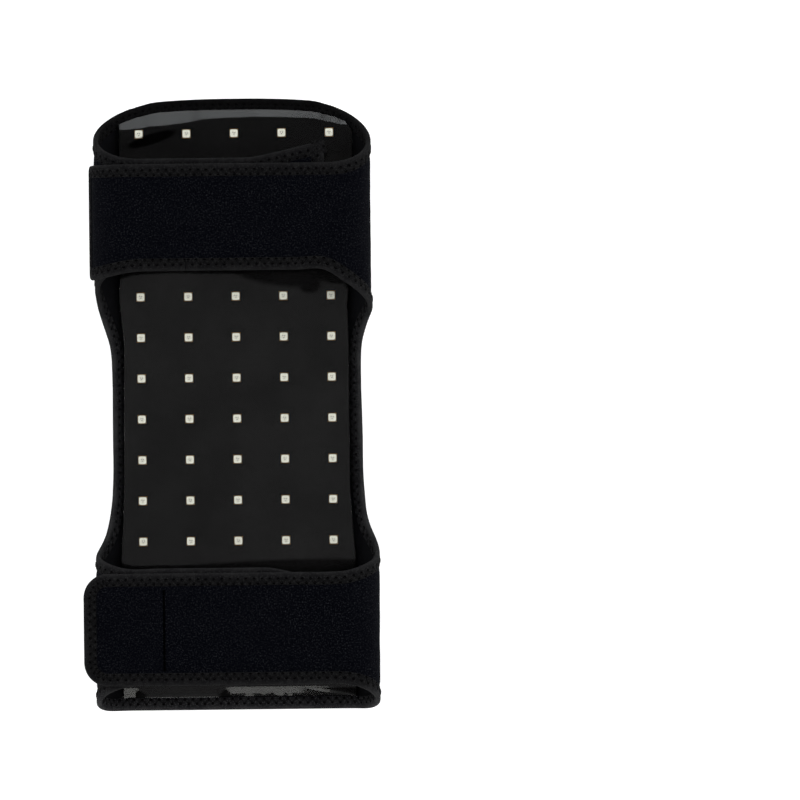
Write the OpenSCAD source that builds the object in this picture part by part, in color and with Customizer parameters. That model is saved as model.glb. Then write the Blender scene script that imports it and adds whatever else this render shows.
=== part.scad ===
// Wearable light wrap: a padded panel of small lights on a soft back,
// folded round a limb and closed by an upper and a lower strap.
// It lies on its back: X across, Y along the limb, Z up towards the straps.

/* [Back panel] */
// Height of the back panel, from its bottom rim to its crown
panel_h = 386; // [376:2:392]
// From the centre line to the centre of the right fold
fold_x = 63; // [62:0.5:64]
// From the centre line to the centre of the left fold
left_fold_x = 64.5; // [63:0.5:66]
// Outer radius of the right fold, half the height of the closed wrap
fold_r = 25; // [24:0.5:26]
// Thickness of the neoprene sheet
sheet_t = 3.2; // [3:0.1:3.4]
// Width of the edge binding
binding_w = 8; // [6:0.5:9]
// Thickness of the binding tape
tape_t = 0.8; // [0.6:0.1:0.9]
// From the centre line to the waist edge, along the sheet
waist_u = 79; // [78.5:0.1:79.5]

/* [Straps] */
// Height of the upper strap's middle above the panel's middle
upper_strap_y = 117; // [116:0.5:118]
// Width of the upper strap
upper_strap_w = 67; // [65:1:68]
// How much the upper strap widens at its free end
end_flare = 5; // [0:0.5:6]
// Height of the lower strap's middle, negative below the panel's middle
lower_strap_y = -140.3; // [-141:0.1:-139]
// Width of the lower strap
lower_strap_w = 70.2; // [69:0.1:71]
// Where the lower strap's tab starts
tab_x = -44; // [-48:0.5:-40]
// Where the lower strap's tab ends
tab_end_x = -96.2; // [-99:0.1:-94]
// Corner radius of the tab's end
tab_corner_r = 15; // [12:0.5:20]
// Where the inner wings end under the straps
wing_end_x = 57; // [50:0.5:58]
// Free space between a wing and the strap over it
layer_gap = 0.4; // [0.3:0.1:0.6]

/* [Light pad] */
// Width of the pad at its two ends
pad_w = 148; // [144:1:149]
// Width of the pad at the waist
pad_waist_w = 139; // [136:1:140]
// Thickness of the foam
foam_t = 4; // [4:0.1:4.5]
// Columns of lights
led_cols = 5; // [3:2:5]
// Rows of lights
led_rows = 14; // [8:2:14]
// Spacing of the columns
led_pitch_x = 30; // [28:0.5:30]
// Spacing of the rows
led_pitch_y = 25.7; // [24:0.1:25.8]
// Side of one square light package
led_w = 5; // [4.5:0.1:5.2]
// Height of one light package
led_t = 1.6; // [1.5:0.1:1.8]

/* [Cord gland] */
// Diameter of the hole for the cord
gland_bore_d = 4.5; // [3.5:0.1:5.5]
// Diameter of the gland's body in the back panel
gland_d = 14; // [12:0.5:16]
// Diameter of the gland's inner flange
gland_flange_d = 20; // [18:0.5:22]

/* [Hidden] */
$fn = 96;

crown_y = panel_h / 2;
strap_z = 2 * fold_r;
left_r = fold_r - (sheet_t + layer_gap) / 2;
wing_z = 2 * left_r;

// A fold is its centre's x, its centre's z and its outer radius
right_fold = [fold_x, fold_r, fold_r];
left_fold = [left_fold_x, left_r, left_r];
tip_fold = [left_fold_x, left_r, left_r + layer_gap + sheet_t];

upper_strap_top = upper_strap_y + upper_strap_w / 2;
upper_strap_low = upper_strap_y - upper_strap_w / 2;
lower_strap_top = lower_strap_y + lower_strap_w / 2;
lower_strap_low = lower_strap_y - lower_strap_w / 2;
upper_wing_top = upper_strap_top + 3.5;
upper_wing_low = upper_strap_low + 3.5;
lower_wing_top = lower_strap_top + 3;
wing_rise = 10.5;
wing_rise_x = 10;

// Distances along the sheet from the centre line
crown_arch = 2.6;
arch_u = 58;
shoulder_y = crown_y - crown_arch;
rim_start_u = 48;
foot_start_u = 78;
front_u = 138;
flare_start_u = 255;
flare_run_u = 40;

// Edges of the side openings: distance along the sheet, then height
waist_top = 13;
waist_low = -42;
upper_right_edge = [
    [waist_u, waist_top], [80, 33], [84, 45], [92, 55], [109, 64], [127, 75], [142, upper_strap_low]
];
lower_right_edge = [
    [waist_u, waist_low], [80, -57], [82, -71], [88, -82], [102, -94], [128, -103.5],
    [142, lower_strap_top]
];
upper_left_edge = [
    [waist_u, waist_top], [80, 34], [84, 46], [91, 59], [99, 70], [115, 80], [130, upper_wing_low]
];
lower_left_edge = [
    [waist_u, waist_low], [80, -59], [82, -73], [86, -84], [95, -92], [110, -97],
    [130, lower_wing_top]
];

// Bodies meet at 45 degrees on a fold, with this much free space
joint_gap = 0.4;
gap_a = joint_gap / 2 / fold_r * 180 / PI;
tip_end_a = 1;
past_joint_a = 7;

// Depths in the light pad, from the back upwards
foam_top = sheet_t + foam_t;
flex_t = 0.3;
flex_top = foam_top + flex_t;
pad_top = flex_top + led_t;
film_t = 0.4;
pad_rim = 6;
led_mid_y = 3.8;
bus_x = 15;
bus_w = 4;
bus_t = 0.25;
gland_y = led_mid_y - (led_rows / 2 - 1) * led_pitch_y;
flange_t = 1.2;
tail_d = 1.2;
tail_z = sheet_t + flange_t + 1;
window_w = led_w + 0.6;
lens_d = 3.8;
lens_t = 0.4;
resistor_x = 45;

hook_t = 1.2;
hook_inset = 12;
seam_x = tab_x - 2;
seam_run = lower_strap_w - 2 * binding_w - 4;
stitch_n = 12;

function ease(t) = t <= 0 ? 0 : t >= 1 ? 1 : (1 - cos(180 * t)) / 2;
function mid_r(f) = f[2] - sheet_t / 2;
function fold_u(f, a) = f[0] + mid_r(f) * (a + 90) * PI / 180;
function fold_a(f, u) = (u - f[0]) / mid_r(f) * 180 / PI - 90;

// Heights of the sheet's edges at a distance along it
function rim_y(u, front) =
    shoulder_y + crown_arch * (1 - pow(min(u / arch_u, 1), 2.5))
    - (shoulder_y - front) * ease((u - rim_start_u) / (front_u - rim_start_u));
function foot_y(u) =
    -crown_y + (lower_strap_low + crown_y) * ease((u - foot_start_u) / (front_u - foot_start_u));
function strap_front_u(x) = fold_u(right_fold, 90) + fold_x - x;
function strap_tip_u(a) = strap_front_u(-left_fold_x) + mid_r(tip_fold) * (90 - a) * PI / 180;
function upper_low_y(u) = lookup(u, upper_right_edge) - end_flare * ease((u - flare_start_u) / flare_run_u);

// Extrudes a profile drawn in x and z along Y
module along_y(y0, y1) translate([0, y1, 0]) rotate([90, 0, 0]) linear_extrude(y1 - y0) children();

// Extrudes a profile drawn in y and z along X
module along_x(x0, x1) translate([x0, 0, 0]) rotate([90, 0, 90]) linear_extrude(x1 - x0) children();

module arc_profile(r0, r1, a0, a1) {
    intersection() {
        difference() {
            circle(r1);
            circle(r0);
        }
        polygon(concat([[0, 0]], [for (i = [0:4]) let (a = a0 + (a1 - a0) * i / 4) 2 * r1 * [cos(a), sin(a)]]));
    }
}

// Cloth on a fold, between two angles and over the depths $from to $to under its outer face
module fold_layer(f, a0, a1) {
    translate([f[0], 0, f[1]])
        along_y(-crown_y - 1, crown_y + 1)
            arc_profile(f[2] - $to, f[2] - $from, a0, a1);
}

// Everything between two edges, which are functions of the angle on a fold:
// drawn in plan on the back and front quarters, and in elevation on the side
module between(f, low, high, a0, a1) {
    plan = abs(a0 + a1) > 60;
    angles = [for (i = [0:9]) a0 + (a1 - a0) * i / 9];
    lows = [for (a = angles) [low(a), a]];
    highs = [for (i = [len(angles) - 1:-1:0]) [high(angles[i]), angles[i]]];
    outline = concat(lows, highs);
    if (plan)
        translate([0, 0, -1]) linear_extrude(strap_z + 2)
            polygon([for (p = outline) [f[0] + mid_r(f) * cos(p[1]), p[0]]]);
    else
        along_x(f[0], f[0] + f[2] + 1)
            polygon([for (p = outline) [p[0], f[1] + mid_r(f) * sin(p[1])]]);
}

// Lower quarter of a fold, which belongs to the back panel
module back_quarter(f, front, low_edge, high_edge) {
    difference() {
        intersection() {
            fold_layer(f, -90, -45 - gap_a);
            between(
                f,
                function(a) foot_y(fold_u(f, a)) + $inset,
                function(a) rim_y(fold_u(f, a), front) - $inset,
                -90,
                -45 + past_joint_a
            );
        }
        between(
            f,
            function(a) lookup(fold_u(f, a) + $inset, low_edge) - $inset,
            function(a) lookup(fold_u(f, a) + $inset, high_edge) + $inset,
            fold_a(f, waist_u - $inset),
            -45 + past_joint_a
        );
    }
}

// Cloth between two edges on one quarter of a fold
module fold_cloth(f, low, high, a0, a1) {
    intersection() {
        fold_layer(f, a0, a1);
        between(f, low, high, max(a0 - past_joint_a, -90), min(a1 + past_joint_a, 90));
    }
}

// Cloth of the upper lobe, above the side opening
module upper_fold(f, front, edge, a0, a1)
    fold_cloth(
        f,
        function(a) lookup(fold_u(f, max(a, -45)) + $inset, edge) + $inset,
        function(a) rim_y(fold_u(f, a), front) - $inset,
        a0,
        a1
    );

// Cloth of the lower lobe, below the side opening
module lower_fold(f, edge, a0, a1)
    fold_cloth(
        f,
        function(a) foot_y(fold_u(f, a)) + $inset,
        function(a) lookup(fold_u(f, max(a, -45)) + $inset, edge) - $inset,
        a0,
        a1
    );

// Flat cloth that faces up, with its outer face at height z
module front_flat(z) translate([0, 0, z - $to]) linear_extrude($to - $from) children();

// Children are one area of cloth, drawn over $inset, $from and $to
module cloth(inset, from, to) {
    $inset = inset;
    $from = from;
    $to = to;
    children();
}

// The sheet: full thickness inside, a thin core under the binding
module sheet_of() {
    cloth(binding_w, 0, sheet_t) children();
    cloth(tape_t, tape_t, sheet_t - tape_t) children();
}

// The binding: the edge band round the sheet's thin core
module binding_of() {
    difference() {
        cloth(0, 0, sheet_t) children();
        sheet_of() children();
    }
}

module back_area() {
    xs = [for (i = [0:16]) -left_fold_x + (left_fold_x + fold_x) * i / 16];
    crown = [for (x = xs) [x, rim_y(abs(x), x > 0 ? upper_strap_top : upper_wing_top) - $inset]];
    foot = [for (x = [fold_x, -left_fold_x]) [x, foot_y(abs(x)) + $inset]];
    translate([0, 0, $from]) linear_extrude($to - $from) polygon(concat(crown, foot));
    back_quarter(right_fold, upper_strap_top, lower_right_edge, upper_right_edge);
    mirror([1, 0, 0]) back_quarter(left_fold, upper_wing_top, lower_left_edge, upper_left_edge);
}

module upper_side_area() {
    upper_fold(right_fold, upper_strap_top, upper_right_edge, -45 + gap_a, 45 - gap_a);
}

module lower_side_area() {
    lower_fold(right_fold, lower_right_edge, -45 + gap_a, 45 - gap_a);
}

module upper_strap_area() {
    upper_fold(right_fold, upper_strap_top, upper_right_edge, 45 + gap_a, 90);
    xs = [for (x = [fold_x, 60, 57, 20, -20, -45, -55, -left_fold_x]) x];
    low = [for (x = xs) [x, upper_low_y(strap_front_u(x)) + $inset]];
    high = [[-left_fold_x, upper_strap_top - $inset], [fold_x, upper_strap_top - $inset]];
    front_flat(strap_z) polygon(concat(low, high));
    upper_tip_arc(45 + gap_a, 90);
}

module upper_tip_arc(a0, a1)
    mirror([1, 0, 0]) fold_cloth(
        tip_fold,
        function(a) upper_low_y(strap_tip_u(a)) + $inset,
        function(a) upper_strap_top - $inset,
        a0,
        a1
    );

module upper_tip_area() upper_tip_arc(tip_end_a + $inset / mid_r(tip_fold) * 180 / PI, 45 - gap_a);

module lower_strap_area() {
    lower_fold(right_fold, lower_right_edge, 45 + gap_a, 90);
    high = [for (x = [tab_x + joint_gap / 2, 57, 60, fold_x])
        [x, lookup(strap_front_u(x), lower_right_edge) - $inset]];
    low = [[fold_x, lower_strap_low + $inset], [tab_x + joint_gap / 2, lower_strap_low + $inset]];
    front_flat(strap_z) polygon(concat(high, low));
}

module lower_tab_area() {
    x0 = tab_end_x + $inset;
    x1 = tab_x - joint_gap / 2;
    y0 = lower_strap_low + $inset;
    y1 = lower_strap_top - $inset;
    r = tab_corner_r - $inset;
    front_flat(strap_z) {
        translate([x0 + r, y0]) square([x1 - x0 - r, y1 - y0]);
        translate([x0, y0 + r]) square([r + 0.01, y1 - y0 - 2 * r]);
        for (y = [y0 + r, y1 - r]) translate([x0 + r, y]) circle(r);
    }
}

module upper_wing_area() {
    mirror([1, 0, 0]) {
        upper_fold(left_fold, upper_wing_top, upper_left_edge, -45 + gap_a, 45);
        upper_fold(left_fold, upper_wing_top, upper_left_edge, 45, 90);
    }
    front_flat(wing_z) polygon([
        [-left_fold_x, upper_wing_low + $inset],
        [wing_end_x - $inset, upper_wing_low + $inset],
        [wing_end_x - $inset, upper_wing_top + wing_rise - $inset],
        [wing_rise_x, upper_wing_top - $inset],
        [-left_fold_x, upper_wing_top - $inset]
    ]);
}

module lower_wing_area() {
    mirror([1, 0, 0]) {
        lower_fold(left_fold, lower_left_edge, -45 + gap_a, 45);
        lower_fold(left_fold, lower_left_edge, 45, 90);
    }
    front_flat(wing_z) polygon([
        [-left_fold_x, lower_strap_low + $inset],
        [wing_end_x - $inset, lower_strap_low + $inset],
        [wing_end_x - $inset, lower_wing_top - $inset],
        [-left_fold_x, lower_wing_top - $inset]
    ]);
}

// The hollow inside the folded back, down to the sheet's inner face
module hollow() {
    along_y(-crown_y, crown_y) {
        translate([-left_fold_x, sheet_t]) square([left_fold_x + fold_x, fold_r]);
        translate([fold_x, fold_r]) circle(fold_r - sheet_t);
        translate([-left_fold_x, left_r]) circle(left_r - sheet_t);
    }
}

// Outline of the light pad, narrower at the waist
module pad_outline(inset = 0) {
    w = pad_w / 2 - inset;
    n = pad_waist_w / 2 - inset;
    top = [for (i = [0:12]) let (x = -w + 2 * w * i / 12) [x, rim_y(abs(x), upper_strap_top) - pad_rim - inset]];
    polygon(concat(
        top,
        [[w, 60], [n, 38], [n, -62], [w, -84]],
        [[w, -crown_y + pad_rim + 3 + inset], [-w, -crown_y + pad_rim + 3 + inset]],
        [[-w, -84], [-n, -62], [-n, 38], [-w, 60]]
    ));
}

// Children stand at the middle of every light
module at_leds() {
    for (i = [0:led_cols - 1], j = [0:led_rows - 1])
        translate([(i - (led_cols - 1) / 2) * led_pitch_x, led_row_y(j)]) children();
}

function led_row_y(j) = led_mid_y + (j - (led_rows - 1) / 2) * led_pitch_y;

module slab(z0, z1) translate([0, 0, z0]) linear_extrude(z1 - z0) children();

module centred_box(x, y, z0, z1) slab(z0, z1) square([x, y], center = true);

module back_panel() color("#141416") difference() {
    sheet_of() back_area();
    translate([0, gland_y, -1]) cylinder(d = gland_d, h = sheet_t + 2);
}

module panel_binding() color("#1c1c1d") binding_of() back_area();

module foam_pad() color("#3a3a3c") difference() {
    intersection() {
        slab(sheet_t, foam_top) pad_outline(1);
        hollow();
    }
    for (s = [-1, 1])
        translate([s * bus_x, led_mid_y, 0])
            centred_box(bus_w + 0.4, (led_rows - 1) * led_pitch_y + 8.4, foam_top - bus_t, foam_top + 1);
    translate([0, gland_y, sheet_t - 1]) cylinder(d = gland_flange_d + 0.4, h = flange_t + 1.2);
    translate([0, gland_y, 0]) centred_box(2 * bus_x + 4, 3, sheet_t + flange_t, foam_top);
}

module flex_circuit() color("#b98a2f") slab(foam_top, flex_top) {
    for (j = [0:led_rows - 1])
        translate([0, led_row_y(j)]) square([(led_cols - 1) * led_pitch_x + 10, 8], center = true);
    for (s = [-1, 1])
        translate([s * bus_x, led_mid_y]) square([6, (led_rows - 1) * led_pitch_y + 8], center = true);
}

module bus_strips() color("#c9c6bf")
    for (s = [-1, 1])
        translate([s * bus_x, led_mid_y, 0])
            centred_box(bus_w, (led_rows - 1) * led_pitch_y + 6, foam_top - bus_t, foam_top);

module resistors() color("#101010")
    for (j = [0:led_rows - 1])
        translate([resistor_x, led_row_y(j), 0]) centred_box(2, 1.25, flex_top, flex_top + 0.6);

module led_packages() color("#e6e1c8") difference() {
    slab(flex_top, pad_top) at_leds() difference() {
        square(led_w, center = true);
        translate([led_w / 2, led_w / 2]) rotate(45) square(1, center = true);
    }
    slab(pad_top - lens_t, pad_top + 1) at_leds() circle(d = lens_d);
}

module led_lenses() color("#b9b6a2") slab(pad_top - lens_t, pad_top) at_leds() circle(d = lens_d);

module light_mask() color("#1f1f1f") difference() {
    slab(flex_top, pad_top) difference() {
        pad_outline();
        at_leds() square(window_w, center = true);
    }
    for (j = [0:led_rows - 1])
        translate([resistor_x, led_row_y(j), 0]) centred_box(2.6, 1.9, flex_top - 1, flex_top + 0.8);
}

module clear_film() color("#9fa3a6", 0.35) slab(pad_top, pad_top + film_t) pad_outline();

module cord_gland() color("#26262a")
    translate([0, gland_y, 0]) rotate_extrude() {
        translate([gland_bore_d / 2, 0]) square([(gland_d - gland_bore_d) / 2, sheet_t + flange_t]);
        translate([gland_bore_d / 2, sheet_t]) square([(gland_flange_d - gland_bore_d) / 2, flange_t]);
    }

module lead_tails() color("#7a1f1a")
    for (s = [0, 1]) translate([0, gland_y, 0]) mirror([s, 0, 0]) {
        translate([3.5, 0, tail_z]) rotate([0, 90, 0]) cylinder(d = tail_d, h = bus_x - 3.5);
        translate([bus_x, 0, tail_z]) sphere(d = tail_d);
        translate([bus_x, 0, tail_z]) cylinder(d = tail_d, h = foam_top - bus_t - tail_z);
    }

module upper_strap_side() color("#121318") sheet_of() upper_side_area();
module upper_side_binding() color("#1c1c1d") binding_of() upper_side_area();
module upper_strap() color("#121318") sheet_of() upper_strap_area();
module upper_strap_binding() color("#1c1c1d") binding_of() upper_strap_area();

module upper_tip() color("#121318") difference() {
    sheet_of() upper_tip_area();
    upper_tip_hook_area();
}

module upper_tip_binding() color("#1c1c1d") binding_of() upper_tip_area();

module upper_tip_hook_area() {
    cloth(0, sheet_t - hook_t, sheet_t)
        mirror([1, 0, 0]) intersection() {
            fold_layer(tip_fold, 20, 42);
            along_x(0, 2 * fold_x)
                translate([upper_strap_low + hook_inset, 0])
                square([upper_strap_w - 2 * hook_inset, strap_z]);
        }
}

module upper_tip_hook() color("#0b0b0c") upper_tip_hook_area();

module lower_strap_side() color("#121318") sheet_of() lower_side_area();
module lower_side_binding() color("#1c1c1d") binding_of() lower_side_area();
module lower_strap() color("#121318") sheet_of() lower_strap_area();
module lower_strap_binding() color("#1c1c1d") binding_of() lower_strap_area();

module lower_tab() color("#121318") difference() {
    sheet_of() lower_tab_area();
    lower_tab_hook_area();
    translate([seam_x, lower_strap_y, 0]) centred_box(1, seam_run + 2, strap_z - 0.9, strap_z + 1);
}

module lower_tab_binding() color("#1c1c1d") binding_of() lower_tab_area();

module lower_tab_hook_area()
    translate([(tab_x + tab_end_x) / 2, lower_strap_y, 0])
        centred_box(
            tab_x - tab_end_x - 2 * hook_inset + 4,
            lower_strap_w - 2 * hook_inset,
            strap_z - sheet_t - 1,
            strap_z - sheet_t + hook_t
        );

module lower_tab_hook() color("#0b0b0c") intersection() {
    lower_tab_hook_area();
    slab(strap_z - sheet_t, strap_z) square(4 * panel_h, center = true);
}

module tab_seam() color("#0e0e10") {
    pitch = seam_run / stitch_n;
    for (i = [0:stitch_n - 1])
        translate([seam_x, lower_strap_y - seam_run / 2 + (i + 0.1) * pitch, strap_z - 0.5])
            rotate([-90, 0, 0]) cylinder(d = 0.7, h = 0.8 * pitch);
}

module upper_wing() color("#16161a") sheet_of() upper_wing_area();
module upper_wing_binding() color("#1c1c1d") binding_of() upper_wing_area();
module lower_wing() color("#16161a") sheet_of() lower_wing_area();
module lower_wing_binding() color("#1c1c1d") binding_of() lower_wing_area();

back_panel();
panel_binding();
foam_pad();
flex_circuit();
bus_strips();
resistors();
led_packages();
led_lenses();
light_mask();
clear_film();
cord_gland();
lead_tails();
upper_strap_side();
upper_side_binding();
upper_strap();
upper_strap_binding();
upper_tip();
upper_tip_binding();
upper_tip_hook();
lower_strap_side();
lower_side_binding();
lower_strap();
lower_strap_binding();
lower_tab();
lower_tab_binding();
lower_tab_hook();
tab_seam();
upper_wing();
upper_wing_binding();
lower_wing();
lower_wing_binding();
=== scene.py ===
"""Looks of a wearable light wrap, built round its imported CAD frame.

The wrap is one soft sheet. Each area of it is laid out flat, as distance along the sheet (u) and
height (y) in millimetres, and is then placed round the folds at a depth under its outer face.
"""
import math

import bmesh
import bpy
import numpy as np
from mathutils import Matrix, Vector, noise


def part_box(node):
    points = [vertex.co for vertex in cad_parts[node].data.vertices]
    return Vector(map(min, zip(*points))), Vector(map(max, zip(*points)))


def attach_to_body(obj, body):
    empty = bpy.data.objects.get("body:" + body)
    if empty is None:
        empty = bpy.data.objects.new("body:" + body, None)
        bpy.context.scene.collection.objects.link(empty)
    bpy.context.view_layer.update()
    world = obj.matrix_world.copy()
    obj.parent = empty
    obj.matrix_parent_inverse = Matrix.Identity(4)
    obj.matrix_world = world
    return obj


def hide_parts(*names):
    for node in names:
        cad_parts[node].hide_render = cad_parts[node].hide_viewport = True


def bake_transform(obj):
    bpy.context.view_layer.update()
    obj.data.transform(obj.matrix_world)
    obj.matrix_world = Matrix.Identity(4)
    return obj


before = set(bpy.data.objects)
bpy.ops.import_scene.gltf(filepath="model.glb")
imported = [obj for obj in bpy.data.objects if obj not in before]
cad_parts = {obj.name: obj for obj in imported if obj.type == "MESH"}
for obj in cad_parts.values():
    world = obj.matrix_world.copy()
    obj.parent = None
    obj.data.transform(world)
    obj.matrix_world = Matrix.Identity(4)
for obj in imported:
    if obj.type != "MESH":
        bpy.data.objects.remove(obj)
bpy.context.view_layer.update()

MM = 0.001


def reach(node, axis, high=True):
    """How far a CAD node reaches along an axis, in millimetres."""
    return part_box(node)[1 if high else 0]["xyz".index(axis)] / MM


# --- sizes, in millimetres
CROWN_Y = reach("panel_binding", "y")
STRAP_Z = reach("upper_strap", "z")
WING_Z = reach("upper_wing", "z")
WING_END_X = reach("upper_wing_binding", "x")
TAB_END_X = reach("lower_tab_binding", "x", high=False)
STRAP_W = 67
WING_LIFT = 3.5
STRAP_TOP = reach("upper_tip_binding", "y")
STRAP_LOW = STRAP_TOP - STRAP_W
FOOT_Y = reach("lower_tab_binding", "y", high=False)
LOWER_TOP = reach("lower_tab_binding", "y")
UPPER_WING_TOP = STRAP_TOP + WING_LIFT
UPPER_WING_LOW = STRAP_LOW + WING_LIFT
LOWER_WING_TOP = LOWER_TOP + 3

SHEET_T = 3.2
BINDING_W = 8.0
RIGHT_FOLD = (63.0, STRAP_Z / 2)
LEFT_FOLD = (64.5, WING_Z / 2)
TIP_R = STRAP_Z - WING_Z / 2
TIP_END_DEG = 89.0
TAB_CORNER_R = 15.0
TIP_CORNER_R = 6.0
# How far each side leans out, at heights along it, and where across the back that begins
LEAN_Y = [-190, -100, -60, -20, 30, 75, 150, 190]
LEAN = {1: [0.6, 1.2, 1.1, 1.0, 0.0, -2.2, -2.0, -1.0],
        -1: [2.3, 1.8, 0.3, 0.3, 0.2, 0.4, 0.6, 0.4]}
LEAN_START, LEAN_RUN = 25, 45
WING_RISE, WING_RISE_X = 10.5, 10.0
WING_DIP, WING_DIP_START, WING_DIP_RUN = 9.0, 80.0, 46.0
SPLIT_X = -30.0
WAIST_MID_Y = -15.0

# Depths under the outer face: the cloth lies a little under the binding that wraps its edge
FACE_D = 0.25
TUCKED_D = 0.85
TUCK = 1.0
DRAWN_FROM, DRAWN_RUN = 12.5, 4.5
CELL = 2.2
INNER_SHIFT = 40.0  # keeps the patterns of the two faces apart

# The zigzag that holds the binding
ZIG_PITCH = 2.5
ZIG_OUT, ZIG_IN = 4.1, 6.8
THREAD_R = 0.23
PIT_DEPTH, PIT_R = 0.42, 0.75

# The light pad
LED_COLS, LED_ROWS = 5, 14
LED_PITCH_X, LED_PITCH_Y = 30.0, 25.7
LED_MID_Y = 3.8
LED_TOP = reach("led_packages", "z")
WINDOW_W = 5.7
PAD_RIGHT_Y = [-190, -100, -80, -55, 0, 40, 62, 85, 115, 190]
PAD_RIGHT = [74.5, 75.5, 73.8, 72.2, 72.0, 72.2, 71.5, 74.0, 76.0, 76.0]
PAD_LEFT_Y = [-190, -100, -80, -50, 40, 66, 90, 190]
PAD_LEFT = [74.5, 75.5, 74.2, 73.0, 72.2, 74.8, 74.2, 74.0]
PAD_CORNER_X, PAD_CORNER_R, PAD_CORNER_FROM_Y = 67.8, 8.2, 150
PAD_FOOT_Y = reach("clear_film", "y", high=False) - 1.8
PAD_RIM = 6.0
MASK_INSET, MASK_T, MASK_TOP = 1.2, 0.9, LED_TOP - 0.25
FOAM_INSET, FOAM_SWELL, SWELL_STEPS = 2.6, 1.0, 20
FOAM_TOP = reach("foam_pad", "z")
FILM_T, FILM_TOP = 0.18, LED_TOP + 0.8
# Widths of the rounded slopes at the sides, the top and the foot
PAD_SHOULDERS = (1.3, 1.0, 1.0)
FOAM_SHOULDERS = (4.5, 7.5, 7.0)

# The film's creases: width of the slope past each, along x, and how steep it is
CREASE_X = [-74, -66, -60, -45, -30, -19, 11, 35, 60, 68, 73]
CREASE_W = [5.2, 7.3, 8.9, 9.9, 9.3, 7.1, 6.2, 6.1, 5.6, 4.4, 1.2]
TOP_SLOPE = 0.6
FOOT_CREASE_W = 8.0
FOOT_SLOPE_X = [-76, -66, -61, -12, -6, 48, 62, 76]
FOOT_SLOPE = [0.6, 0.6, 0.2, 0.2, 0.6, 0.6, 0.3, 0.3]


# --- the flat pattern
def ease(t):
    t = np.clip(t, 0, 1)
    return (1 - np.cos(np.pi * t)) / 2


def join(*parts):
    """Points from arrays of their coordinates."""
    return np.stack(parts, -1)


class Path:
    """The sheet's way round the wrap on one side: flat back, fold, then flat front."""

    def __init__(self, side, fold, tip_r=None):
        self.side, self.fold_x, self.r, self.tip_r = side, fold[0], fold[1], tip_r
        self.mid_r = self.r - SHEET_T / 2
        self.side_u = self.fold_x + self.mid_r * math.pi / 2
        self.front_u = self.fold_x + self.mid_r * math.pi

    def place(self, u, y, depth):
        """Points in metres, for places u, y on the flat sheet and depths under its outer face."""
        turn = np.clip((u - self.fold_x) / self.mid_r, 0, np.pi)
        front = np.maximum(u - self.front_u, 0)
        arc = self.r - depth
        x = np.minimum(u, self.fold_x) + arc * np.sin(turn)
        z = self.r - arc * np.cos(turn)
        if self.tip_r:
            flat_run = self.fold_x + LEFT_FOLD[0]
            tip = np.maximum(front - flat_run, 0) / (self.tip_r - SHEET_T / 2)
            x = x - np.minimum(front, flat_run) - (self.tip_r - depth) * np.sin(tip)
            z = np.where(tip > 0, LEFT_FOLD[1] + (self.tip_r - depth) * np.cos(tip), z)
        else:
            x = x - front
        x = x + np.interp(y, LEAN_Y, LEAN[self.side]) * ease((x - LEAN_START) / LEAN_RUN)
        if self.side > 0:
            x = x - np.interp(y, LEAN_Y, LEAN[-1]) * ease((-u - LEAN_START) / LEAN_RUN)
        return join(self.side * x, y + 0 * x, z) * MM

    def at_x(self, x):
        """Distance along the sheet of a place on the flat front."""
        return self.front_u + self.fold_x - self.side * x


RIGHT = Path(1, RIGHT_FOLD)
RIGHT_TIP = Path(1, RIGHT_FOLD, TIP_R)
LEFT = Path(-1, LEFT_FOLD)
SPLIT_U = RIGHT.at_x(SPLIT_X)
TIP_START_U = RIGHT.at_x(-LEFT_FOLD[0])
TIP_END_U = TIP_START_U + (TIP_R - SHEET_T / 2) * math.radians(TIP_END_DEG)
TAB_END_U = RIGHT.at_x(TAB_END_X)
WING_END_U = LEFT.at_x(WING_END_X)
FLARE, FLARE_U, FLARE_RUN = 5.0, 255.0, 40.0
RIM_START_U, FOOT_START_U, FRONT_U = 48.0, 78.0, 138.0
CROWN_ARCH, ARCH_U = 2.6, 58.0


def rim(u, front):
    """Height of the sheet's top edge: arched over the back, then down to the strap in front."""
    side_y = CROWN_Y - CROWN_ARCH
    arch = CROWN_ARCH * (1 - np.minimum(np.abs(u) / ARCH_U, 1) ** 2.5)
    drop = (side_y - front) * ease((np.abs(u) - RIM_START_U) / (FRONT_U - RIM_START_U))
    return side_y + arch - drop


def rim_right(u):
    return rim(u, STRAP_TOP)


def rim_left(u):
    return rim(u, UPPER_WING_TOP)


def rim_back(x):
    return np.where(x > 0, rim_right(x), rim_left(x))


def wing_rim(u):
    start = LEFT.at_x(WING_RISE_X)
    return rim_left(u) + WING_RISE * np.clip((u - start) / (WING_END_U - start), 0, 1.2) ** 1.15


def foot(u):
    share = ease((np.abs(u) - FOOT_START_U) / (FRONT_U - FOOT_START_U))
    return -CROWN_Y + (FOOT_Y + CROWN_Y) * share


def curve_through(points, per=10):
    """A smooth line through a few points, by Catmull-Rom."""
    p = np.array(points, float)
    p = np.vstack([2 * p[0] - p[1], p, 2 * p[-1] - p[-2]])
    t = np.linspace(0, 1, per, endpoint=False)[:, None]
    spans = []
    for a, b, c, d in zip(p, p[1:], p[2:], p[3:]):
        square, cube = 2 * a - 5 * b + 4 * c - d, 3 * b - a - 3 * c + d
        spans.append(0.5 * (2 * b + (c - a) * t + square * t**2 + cube * t**3))
    return np.vstack(spans + [p[-2:-1]])


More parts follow.
